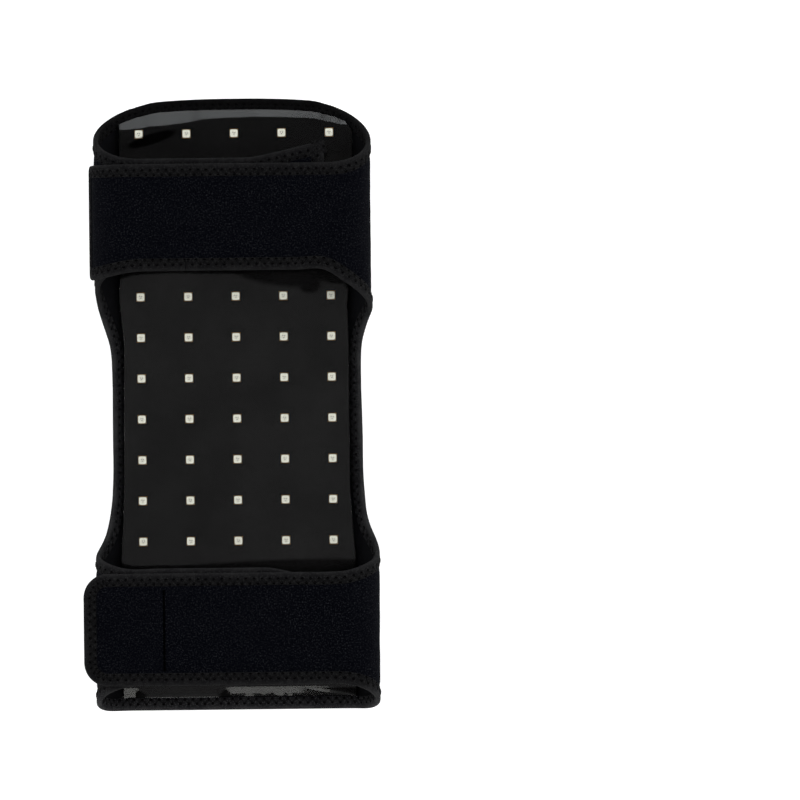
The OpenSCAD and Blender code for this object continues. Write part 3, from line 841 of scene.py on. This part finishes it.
AREAS = [
    Area("back_centre", RIGHT, strip_grid(foot, rim_back, -LEFT_FOLD[0], RIGHT_FOLD[0]),
        spans(-LEFT_FOLD[0], RIGHT_FOLD[0], RIM_RIGHT, FOOT_RIGHT),
        rider("panel"), ["back_panel", "panel_binding"], "laid"),
    side_area("upper_right_side", RIGHT, UPPER_RIGHT, rim_right, 1, RIM_RIGHT, "upper_side",
        ["upper_strap_side", "upper_side_binding"]),
    side_area("lower_right_side", RIGHT, LOWER_RIGHT, foot, -1, FOOT_RIGHT, "lower_side",
        ["lower_strap_side", "lower_side_binding"]),
    side_area("upper_left_side", LEFT, UPPER_LEFT, rim_left, 1, RIM_LEFT, "upper_flap", []),
    side_area("lower_left_side", LEFT, LOWER_LEFT, foot, -1, FOOT_LEFT, "lower_flap", []),
    Area("upper_wing_cloth", LEFT,
        strip_grid(UPPER_LEFT_LOW, wing_rim, LEFT.side_u, WING_END_U, TUCK),
        spans(LEFT.side_u, WING_END_U, RIM_LEFT, WING_LOW_EDGE)
        + [across_end(WING_END_U, UPPER_WING_LOW, UPPER_WING_TOP + WING_RISE)],
        rider("upper_flap"), ["upper_wing", "upper_wing_binding"]),
    Area("lower_wing_cloth", LEFT, strip_grid(foot, wing_top, LEFT.side_u, WING_END_U, TUCK),
        spans(LEFT.side_u, WING_END_U, WING_HIGH_EDGE, FOOT_LEFT)
        + [across_end(WING_END_U, FOOT_Y, LOWER_WING_TOP - WING_DIP)],
        rider("lower_flap"), ["lower_wing", "lower_wing_binding"]),
    Area("upper_strap_cloth", RIGHT_TIP, strip_grid(strap_low, rim_right, RIGHT.side_u, SPLIT_U),
        spans(RIGHT.side_u, SPLIT_U, RIM_RIGHT, STRAP_LOW_EDGE),
        fold_bend("upper_side", "upper_front", RIGHT, 0, 90),
        ["upper_strap", "upper_strap_binding"]),
    Area("lower_strap_cloth", RIGHT, strip_grid(foot, LOWER_RIGHT_HIGH, RIGHT.side_u, SPLIT_U),
        spans(RIGHT.side_u, SPLIT_U, LOWER_HIGH_EDGE, FOOT_RIGHT),
        fold_bend("lower_side", "lower_front", RIGHT, 0, 90),
        ["lower_strap", "lower_strap_binding"]),
    Area("upper_tip_cloth", RIGHT_TIP, strip_grid(strap_low, rim_right, SPLIT_U, TIP_END_U, TUCK),
        [end_loop(rim_right, strap_low, TIP_END_U, TIP_CORNER_R, zigzag_phase(RIM_RIGHT))],
        end_bend("upper"), ["upper_tip", "upper_tip_binding"]),
    Area("lower_tab_cloth", RIGHT,
        strip_grid(lambda u: FOOT_Y + tab_half(u), lambda u: LOWER_TOP - tab_half(u),
            SPLIT_U, TAB_END_U, TUCK),
        [end_loop(LOWER_RIGHT_HIGH, foot, TAB_END_U, TAB_CORNER_R, zigzag_phase(LOWER_HIGH_EDGE))],
        end_bend("lower"), ["lower_tab", "lower_tab_binding"], "laid"),
]


def edge_distance(area):
    """How far each flat point of an area lies from its nearest bound edge."""
    bound = []
    for edge, start, stop in area.edges:
        run = np.arange(start - 12, stop + 12, 2.0)
        bound.append(join(*edge.at(np.clip(run, 0, edge.run[-1]), 0.0)))
    bound = np.vstack(bound)
    flat = area.grid.reshape(-1, 2)
    nearest = np.full(len(flat), 1e9)
    for chunk in np.array_split(bound, max(1, len(bound) // 200)):
        gap = np.linalg.norm(flat[:, None] - chunk[None], axis=2).min(1)
        nearest = np.minimum(nearest, gap)
    return nearest.reshape(area.grid.shape[:2])


def make_cloth(area):
    """The laminated sheet: loop cloth outside and jersey inside, drawn down to the stitches."""
    u, y = area.grid[..., 0], area.grid[..., 1]
    signed = u * area.path.side
    drawn = ease((DRAWN_FROM - edge_distance(area)) / DRAWN_RUN)
    loft = FACE_D + (TUCKED_D - FACE_D) * drawn
    sag = 0.16 * wave(signed, y, 17.0, 3.7) + 0.10 * wave(signed, y, 6.0, 8.1)
    outer = loft + np.maximum(sag * (1 - drawn), -0.15)
    inner = SHEET_T - loft + np.minimum(0.10 * wave(signed, y, 14.0, 5.2) * (1 - drawn), 0.1)
    points = np.stack([area.path.place(u, y, outer), area.path.place(u, y, inner)])
    faces, sides = slab_faces(*u.shape)
    flat = np.stack([join(signed, y, np.full_like(u, k * INNER_SHIFT)) for k in (0, 1)])
    piece = make_piece(area.name, points, faces, [LOOP, JERSEY], sides, flat.reshape(-1, 3))
    return piece


# Section of the binding: distance in from the edge, and depth
TAPE_FACE = [(7.95, 0.62), (7.75, 0.22), (7.3, 0.10), (6.8, 0.12), (6.1, 0.06), (5.4, 0.04),
             (4.7, 0.06), (4.1, 0.12), (3.3, 0.03), (2.4, 0.0), (1.5, 0.04), (0.8, 0.2)]
TAPE_EDGE = [(0.3, 0.62), (0.05, 1.1), (0.0, 1.6), (0.05, 2.1), (0.3, 2.58)]
TAPE_BACK = [(7.4, 0.72), (4.0, 0.72), (1.6, 0.78), (0.85, 1.6)]
TAPE_STEP = 0.85


def tape_section():
    """The binding's section: distance in from the edge, depth, and which way stitches press it."""
    mirrored = [(w, SHEET_T - d) for w, d in reversed(TAPE_FACE)]
    inside = [(w, SHEET_T - d) for w, d in TAPE_BACK[:3]] + TAPE_BACK[3:] + TAPE_BACK[2::-1]
    ring = TAPE_FACE + TAPE_EDGE + mirrored + inside
    press = [1] * len(TAPE_FACE) + [0] * len(TAPE_EDGE) + [-1] * len(mirrored) + [0] * len(inside)
    return np.array(ring, float), np.array(press, float)


def needle_press(run, w):
    """How deep the stitches pull the tape in: a pit at each needle hole, and a slack between."""
    phase = run / ZIG_PITCH
    depth = 0.0
    for row, shift in ((ZIG_IN, 0.0), (ZIG_OUT, 1.0)):
        near = (np.mod(phase + shift + 1, 2) - 1) * ZIG_PITCH
        depth = depth + PIT_DEPTH * np.exp(-(near**2 + (w - row) ** 2) / PIT_R**2)
    return depth


def make_binding(area):
    """The folded tape round the area's bound edges, pulled in by its stitches."""
    ring, press = tape_section()
    in_from_edge, ring_depth = ring[None, :, 0], ring[None, :, 1]
    points, flats, faces = [], [], []
    count = 0
    for edge, start, stop in area.edges:
        rows = max(4, round((stop - start) / TAPE_STEP))
        run = np.linspace(start, stop, rows)[:, None]
        slack = 0.10 * wave(run[:, 0], 0 * run[:, 0] + start, 9.0, 2.4)[:, None]
        w = in_from_edge + slack * (in_from_edge / BINDING_W)
        depth = ring_depth + press[None] * needle_press(run, in_from_edge)
        u, y = edge.at(run, w)
        points.append(area.path.place(u, y, depth + 0 * u).reshape(-1, 3))
        flats.append(join(run + 0 * w, w, depth + 0 * w).reshape(-1, 3))
        faces += ring_faces(rows, len(ring), first=count)
        count += rows * len(ring)
    piece = make_piece(f"{area.name}_binding", np.vstack(points), faces, [TAPE],
        flat=np.vstack(flats), sharp_deg=60)
    return piece


# Along one stitch: how far along it, and its depth under the face
STITCH_STEPS = np.array([(0.0, 0.75), (0.08, 0.25), (0.24, -0.12), (0.5, -0.2), (0.76, -0.12),
                         (0.92, 0.25), (1.0, 0.75)])


def make_thread(name, points, sides, material, flat):
    """A row of stitches, each a closed tube of its own with rings of points at STITCH_STEPS."""
    steps = len(STITCH_STEPS)
    faces = []
    for first in range(0, len(points), steps * sides):
        faces += ring_faces(steps, sides, first)
    piece = make_piece(name, points, faces, [material], flat=flat, sharp_deg=70)
    return piece


def ring_turn(sides, across_r, up_r):
    """Offsets across and up of the points round a thread."""
    turn = np.linspace(0, 2 * np.pi, sides, endpoint=False)
    return across_r * np.cos(turn), up_r * np.sin(turn)


def make_stitches(area, sides=5):
    """The zigzag thread on both faces: one short arch of thread from hole to hole."""
    points, flats = [], []
    across, up = ring_turn(sides, THREAD_R, THREAD_R)
    share = STITCH_STEPS[None, :, 0, None]
    length = math.hypot(ZIG_PITCH, ZIG_IN - ZIG_OUT)
    for edge, start, stop in area.edges:
        k = np.arange(math.ceil(start / ZIG_PITCH), math.ceil(stop / ZIG_PITCH))
        if not len(k):
            continue
        even = (k % 2 == 0)[:, None, None]
        from_w, to_w = np.where(even, ZIG_IN, ZIG_OUT), np.where(even, ZIG_OUT, ZIG_IN)
        side_run = np.where(even, 1, -1) * (ZIG_IN - ZIG_OUT) / length
        run = (k[:, None, None] + share) * ZIG_PITCH + side_run * across
        w = from_w + (to_w - from_w) * share + ZIG_PITCH / length * across
        u, y = edge.at(run, w)
        for face in (1, -1):
            depth = STITCH_STEPS[None, :, 1, None] + up + 0 * run
            depth = depth if face == 1 else SHEET_T - depth
            points.append(area.path.place(u, y, depth).reshape(-1, 3))
            flats.append(join(run + INNER_SHIFT * face, w, depth).reshape(-1, 3))
    return make_thread(f"{area.name}_stitches", np.vstack(points), sides, THREAD,
        np.vstack(flats))


def build_sheet():
    """Every area of the sheet with its binding and stitches."""
    for area in AREAS:
        cloth, binding, stitches = make_cloth(area), make_binding(area), make_stitches(area)
        for piece in (cloth, binding, stitches):
            area.attach(piece)
        if area.stands_for:
            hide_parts(area.stands_for[0])
            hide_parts(area.stands_for[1])


# --- hook tape and the tab's seam
HOOK_INSET = 12.0
HOOK_BEFORE_END = (32, 9)
HOOK_FACE, HOOK_BACK, HOOK_CROWN, HOOK_BORDER = 3.15, 2.4, 0.21, 1.6
SEAM_PITCH, SEAM_FILL = 3.4, 0.94
SEAM_HALF_W, SEAM_HALF_T = 0.62, 0.3


def make_hook(lobe, path, u0, u1, low, high, node):
    """A patch of hook tape let into the inner face, with a thin sewn border."""
    y0, y1 = low + HOOK_INSET, high - HOOK_INSET
    u, y = np.meshgrid(np.linspace(u0, u1, 24), np.linspace(y0, y1, 34), indexing="ij")
    inset = np.minimum(np.minimum(u - u0, u1 - u), np.minimum(y - y0, y1 - y))
    face = HOOK_FACE + HOOK_CROWN * ease(inset / HOOK_BORDER)
    points = np.stack([path.place(u, y, HOOK_BACK + 0 * u), path.place(u, y, face)])
    faces, _ = slab_faces(*u.shape)
    flat = np.stack([join(u, y, 0 * u)] * 2).reshape(-1, 3)
    piece = make_piece(f"{lobe}_hook_patch", points, faces, [HOOKS], flat=flat)
    end_bend(lobe)(piece)
    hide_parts(node)


def build_hooks():
    u0, u1 = TIP_END_U - HOOK_BEFORE_END[0], TIP_END_U - HOOK_BEFORE_END[1]
    make_hook("upper", RIGHT_TIP, u0, u1, STRAP_LOW, STRAP_TOP, "upper_tip_hook")
    u0, u1 = (RIGHT.at_x(reach("lower_tab_hook", "x", high)) for high in (True, False))
    make_hook("lower", RIGHT, u0, u1, FOOT_Y, LOWER_TOP, "lower_tab_hook")


def build_tab_seam(sides=6):
    """The straight seam across the tab: flat dark stitches, end to end."""
    seam_u = RIGHT.at_x(reach("tab_seam", "x") - 0.3)
    y0, y1 = FOOT_Y + BINDING_W + 1.0, LOWER_TOP - BINDING_W - 1.0
    across, up = ring_turn(sides, SEAM_HALF_W, SEAM_HALF_T)
    points = []
    for i in range(int((y1 - y0) / SEAM_PITCH)):
        y = (y0 + (i + 0.03 + SEAM_FILL * STITCH_STEPS[:, 0]) * SEAM_PITCH)[:, None]
        depth = (FACE_D - 0.22 + 0.4 * STITCH_STEPS[:, 1])[:, None] + up[None]
        place = RIGHT.place(seam_u + across[None] + 0 * y, y + 0 * across[None], depth)
        points.append(place.reshape(-1, 3))
    points = np.vstack(points)
    piece = make_thread("tab_seam_thread", points, sides, SEAM_THREAD, points / MM)
    end_bend("lower")(piece)
    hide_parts("tab_seam")


# --- the light pad
LED_X = [(i - (LED_COLS - 1) / 2) * LED_PITCH_X for i in range(LED_COLS)]
LED_Y = [LED_MID_Y + (j - (LED_ROWS - 1) / 2) * LED_PITCH_Y for j in range(LED_ROWS)]


def pad_half(x, y):
    """How wide the pad is on the side of x, at a height."""
    return np.where(x > 0, np.interp(y, PAD_RIGHT_Y, PAD_RIGHT), np.interp(y, PAD_LEFT_Y, PAD_LEFT))


def corner_drop(x):
    """How far the rounded top right corner falls below the rest of the pad's top edge."""
    into = np.clip((x - PAD_CORNER_X) / PAD_CORNER_R, 0, 1)
    return PAD_CORNER_R * (1 - np.sqrt(1 - into**2))


def pad_top_y(x):
    return rim_back(x) - PAD_RIM


def floor_z(x):
    """Height of the sheet's inner face under the pad, which rises where the folds begin."""
    path_r = np.where(x > 0, RIGHT_FOLD[1], LEFT_FOLD[1])
    start = np.where(x > 0, RIGHT_FOLD[0], LEFT_FOLD[0])
    into = np.clip(np.abs(x) - start, 0, path_r - SHEET_T - 0.1)
    return path_r - np.sqrt((path_r - SHEET_T) ** 2 - into**2)


def grid_lines(centres, half, low, high, between, ends):
    """Places of grid lines: a cell on each window, some between windows, some out to each end."""
    lines = list(np.linspace(low, centres[0] - half, ends + 1)[:-1])
    for a, b in zip(centres, centres[1:]):
        lines += [a - half, a + half]
        lines += list(np.linspace(a + half, b - half, between + 1)[1:-1])
    lines += [centres[-1] - half, centres[-1] + half]
    lines += list(np.linspace(centres[-1] + half, high, ends + 1)[1:])
    return np.array(lines)


def pad_grid(inset, between, ends):
    """Flat points over the pad: straight lines among the lights, drawn out to its outline."""
    half = WINDOW_W / 2
    edge_x, edge_y = LED_X[-1] + half, LED_Y[-1] + half
    foot_y = LED_Y[0] - half
    xs = grid_lines(LED_X, half, -edge_x - 1, edge_x + 1, between, ends)
    ys = grid_lines(LED_Y, half, foot_y - 1, edge_y + 1, between, ends)
    x, y = np.meshgrid(xs, ys, indexing="ij")
    side = np.clip(np.abs(x) - edge_x, 0, 1)
    outward = np.sign(x) * (edge_x + side * (pad_half(x, y) - inset - edge_x))
    x = np.where(side > 0, outward, x)
    over, under = np.clip(y - edge_y, 0, 1), np.clip(foot_y - y, 0, 1)
    y = np.where(over > 0, edge_y + over * (pad_top_y(x) - inset - edge_y), y)
    y = np.where(under > 0, foot_y - under * (foot_y - PAD_FOOT_Y - inset), y)
    corner = (y - PAD_CORNER_FROM_Y) / (pad_top_y(x) - inset - PAD_CORNER_FROM_Y)
    return x, y - corner_drop(x) * np.clip(corner, 0, 1), xs, ys


def rim_gap(x, y, inset):
    """Distances of flat points of the pad from its sides, its top and its foot."""
    top = pad_top_y(x) - corner_drop(x) - inset - y
    return pad_half(x, y) - inset - np.abs(x), top, y - PAD_FOOT_Y - inset


def shoulders(gaps, widths):
    """From 0 on an outline to 1 a width inside it, as a rounded slope, for all of its sides."""
    share = 1.0
    for gap, width in zip(gaps, widths):
        t = np.clip(gap / width, 0, 1)
        share = share * np.sqrt(np.clip(1 - (1 - t) ** 2, 0, 1))
    return share


def pad_height(x, y, inset, over):
    """Height of a soft layer over the pad. It slopes down evenly past a crease near the top
    and another near the foot, and then drops to the sheet at its outline."""
    side, top, low = rim_gap(x, y, inset)
    crease = np.interp(x, CREASE_X, CREASE_W) - inset
    foot_fall = np.maximum(FOOT_CREASE_W - inset - low, 0) * np.interp(x, FOOT_SLOPE_X, FOOT_SLOPE)
    fall = np.maximum(crease - top, 0) * TOP_SLOPE + foot_fall
    base = floor_z(x) + 0.15
    share = shoulders((side, top, low), PAD_SHOULDERS)
    return base + np.maximum(over - fall - base, 0.3) * share


def quilt(x, y):
    """Soft swelling between the lights, 0 on them and 1 amid them."""
    wave_x = 1 - np.cos(2 * np.pi * (x - LED_X[0]) / LED_PITCH_X)
    wave_y = 1 - np.cos(2 * np.pi * (y - LED_Y[0]) / LED_PITCH_Y)
    return np.clip((wave_x + wave_y) / 4, 0, 1)


def build_mask():
    """The black sheet over the foam, with a square window at each light."""
    x, y, xs, ys = pad_grid(MASK_INSET, 6, 9)
    swell_z = 0.2 * quilt(x, y) * (np.abs(x) < LED_X[-1] + 6)
    top = join(x, y, pad_height(x, y, MASK_INSET, MASK_TOP) + swell_z) * MM
    on_x, on_y = (np.abs((v[1:] + v[:-1])[:, None] / 2 - np.array(lights)).min(1) < 0.5
                  for v, lights in ((xs, LED_X), (ys, LED_Y)))
    window = (on_x[:, None] & on_y[None]).ravel()
    piece = make_piece("mask_sheet", top, quads(*x.shape)[~window], [MASK])
    thick = piece.modifiers.new("thickness", "SOLIDIFY")
    thick.thickness, thick.offset, thick.use_rim = MASK_T * MM, -1, True
    face_up(piece)
    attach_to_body(piece, "panel")
    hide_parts("light_mask")


def build_film():
    """The clear film over the lights: taut on them, slack between, and drawn down at its top."""
    x, y, _, _ = pad_grid(0.0, 14, 22)
    ripple = 0.22 * wave(x, y * 0.45, 30.0, 1.3) + 0.05 * wave(x * 0.6, y, 12.0, 6.6)
    side, top, low = rim_gap(x, y, 0.0)
    inside = ease(side / 8) * ease(top / 12) * ease(low / 12)
    relief = (0.2 * quilt(x, y) + ripple) * inside
    z = pad_height(x, y, 0.0, FILM_TOP) + 0.22 + relief
    points = np.stack([join(x, y, z), join(x, y, z - FILM_T)]) * MM
    faces, _ = slab_faces(*x.shape)
    piece = make_piece("film_sheet", points, faces, [FILM], sharp_deg=70)
    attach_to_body(piece, "panel")
    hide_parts("clear_film")


def build_foam():
    """The foam behind the lights: swollen by simulation, held on the sheet and under the circuit."""
    x, y, _, _ = pad_grid(FOAM_INSET, 5, 5)
    low = floor_z(x) + 0.1
    rise = np.maximum(FOAM_TOP - 0.3 - low, 0.6)
    share = 0.35 + 0.65 * shoulders(rim_gap(x, y, FOAM_INSET), FOAM_SHOULDERS)
    under_mask = pad_height(x, y, MASK_INSET, MASK_TOP) - MASK_T - 0.15
    upper = np.minimum(low + rise * share, np.maximum(under_mask, low + 0.3))
    faces, _ = slab_faces(*x.shape)
    points = np.stack([join(x, y, upper), join(x, y, low)]) * MM
    piece = make_piece("foam_cushion", points, faces, [FOAM], sharp_deg=75)
    swell(piece, x.size)
    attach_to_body(piece, "panel")
    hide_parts("foam_pad")


def swell(piece, top_count):
    """Runs a cloth simulation with pressure, and keeps each point within its room."""
    rest = np.array([v.co for v in piece.data.vertices], float)
    held = piece.vertex_groups.new(name="held")
    held.add(list(range(top_count, len(rest))), 1.0, "REPLACE")
    cloth = piece.modifiers.new("swell", "CLOTH")
    cloth.settings.use_pressure = True
    cloth.settings.uniform_pressure_force = 4.0
    cloth.settings.effector_weights.gravity = 0
    cloth.settings.vertex_group_mass = "held"
    scene = bpy.context.scene
    for step in range(SWELL_STEPS):
        scene.frame_set(1 + step)
    evaluated = piece.evaluated_get(bpy.context.evaluated_depsgraph_get())
    moved = np.array([v.co for v in evaluated.data.vertices], float)
    piece.modifiers.remove(cloth)
    scene.frame_set(1)
    settled = rest + np.clip(moved - rest, -FOAM_SWELL * MM, FOAM_SWELL * MM)
    settled[:, 2] = np.minimum(settled[:, 2], (FOAM_TOP - 0.02) * MM)
    piece.data.vertices.foreach_set("co", settled.astype(np.float32).ravel())
    piece.data.update()


# The chips in one light: place and size
DIES = ((-0.55, 0.45, 0.62, 0.5), (0.6, 0.35, 0.5, 0.62), (0.0, -0.62, 0.95, 0.36))


def build_dies():
    """The small chips in each light's cup."""
    work = bmesh.new()
    for x in LED_X:
        for y in LED_Y:
            for dx, dy, w, h in DIES:
                for v in bmesh.ops.create_cube(work, size=1.0)["verts"]:
                    v.co = Vector(((x + dx + v.co.x * w) * MM, (y + dy + v.co.y * h) * MM,
                        (LED_TOP + 0.02 + v.co.z * 0.1) * MM))
    bmesh.ops.bevel(work, geom=work.edges[:], offset=0.03 * MM, segments=1, affect="EDGES")
    mesh = bpy.data.meshes.new("light_dies")
    work.to_mesh(mesh)
    work.free()
    mesh.materials.append(moulded("die", (0.05, 0.05, 0.045), (0.12, 0.115, 0.1), 0.35, 0.3))
    piece = show(bpy.data.objects.new("light_dies", mesh))
    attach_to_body(piece, "panel")


def dress_nodes():
    """Materials for the CAD nodes that stay as they are."""
    black = (0.012, 0.012, 0.012)
    materials = {
        "led_packages": led_body(),
        "led_lenses": led_lens(),
        "flex_circuit": moulded("flex_circuit", (0.30, 0.14, 0.02), (0.42, 0.22, 0.04), 0.3, 1.2),
        "bus_strips": moulded("bus_strips", (0.52, 0.50, 0.47), (0.68, 0.66, 0.63), 0.35, 0.8, 1.0),
        "resistors": striped("resistors", 44.35, 45.65, (0.02, 0.02, 0.02), (0.6, 0.58, 0.55)),
        "cord_gland": moulded("cord_gland", (0.010, 0.010, 0.011), (0.022, 0.022, 0.024), 0.55, 0.8),
        "lead_tails": striped("lead_tails", 0.0, 40.0, (0.30, 0.015, 0.01), black),
    }
    for node, material in materials.items():
        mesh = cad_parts[node].data
        mesh.materials.clear()
        mesh.materials.append(material)


# --- floor, light and camera
def pale_floor():
    s = Shader("pale_floor")
    tone = s.noise(s.place(), 160.0, 3.0)
    colour = s.mix(s.between(tone, 0.3, 0.7), (0.90, 0.90, 0.90), (0.93, 0.93, 0.93))
    return s.solid(colour, s.between(tone, 0.3, 0.7, 0.85, 0.95), 0.1,
        Emission_Color=colour, Emission_Strength=0.6)


def build_floor(reach_mm=4000, count=24):
    line = np.linspace(-reach_mm, reach_mm, count)
    x, y = np.meshgrid(line, line, indexing="ij")
    points = join(x, y, np.full_like(x, -0.4)) * MM
    floor = make_piece("floor", points, quads(count, count), [pale_floor()])
    face_up(floor)


def area_light(name, place, aim, size, glow, colour=(1, 1, 1)):
    """A softbox. place, aim and size are in metres, and glow is its own brightness."""
    lamp = bpy.data.lights.new(name, "AREA")
    lamp.shape = "RECTANGLE"
    lamp.size, lamp.size_y = size
    lamp.energy = glow * math.pi * size[0] * size[1]
    lamp.color = colour
    light = show(bpy.data.objects.new(name, lamp))
    light.location = place
    light.rotation_euler = (Vector(aim) - Vector(place)).to_track_quat("-Z", "Y").to_euler()


def build_lights():
    area_light("left_softbox", (-1.35, 0.1, 1.3), (0, 0, 0), (1.0, 1.8), 4.0)
    area_light("right_softbox", (1.35, 0.1, 1.3), (0, 0, 0), (1.0, 1.8), 4.5)
    area_light("top_card", (-0.2, 1.86, 1.0), (0, 0.1, 0), (3.4, 0.9), 0.47, (0.90, 0.97, 1.0))
    area_light("foot_card", (0.1, -1.86, 1.0), (0, -0.1, 0), (1.8, 0.7), 0.35, (1.0, 1.0, 0.9))
    world = bpy.data.worlds.new("studio")
    world.use_nodes = True
    nodes, links = world.node_tree.nodes, world.node_tree.links
    height = nodes.new("ShaderNodeSeparateXYZ")
    links.new(nodes.new("ShaderNodeTexCoord").outputs["Generated"], height.inputs[0])
    ramp = nodes.new("ShaderNodeMapRange")
    for key, value in (("From Min", 0.05), ("From Max", 0.75), ("To Min", 0.95), ("To Max", 0.12)):
        ramp.inputs[key].default_value = value
    links.new(height.outputs["Z"], ramp.inputs["Value"])
    links.new(ramp.outputs["Result"], nodes["Background"].inputs["Strength"])
    nodes["Background"].inputs["Color"].default_value = (1, 1, 1, 1)
    bpy.context.scene.world = world


# The camera looks straight down, with the wrap left of the middle and turned a little
CAMERA_HEIGHT = 4.0
VIEW_CENTRE = (0.10285, 0.0014)
VIEW_TURN_DEG = -0.65
LENS = 284.8


def build_camera():
    lens = bpy.data.cameras.new("camera")
    lens.lens, lens.sensor_width = LENS, 36.0
    camera = show(bpy.data.objects.new("camera", lens))
    camera.location = (*VIEW_CENTRE, CAMERA_HEIGHT)
    camera.rotation_euler = (0, 0, math.radians(VIEW_TURN_DEG))
    bpy.context.scene.camera = camera


for build in (build_sheet, build_hooks, build_tab_seam, build_foam, build_mask, build_film,
              build_dies, dress_nodes, build_floor, build_lights, build_camera):
    build()
bpy.context.scene.view_settings.view_transform = "Standard"
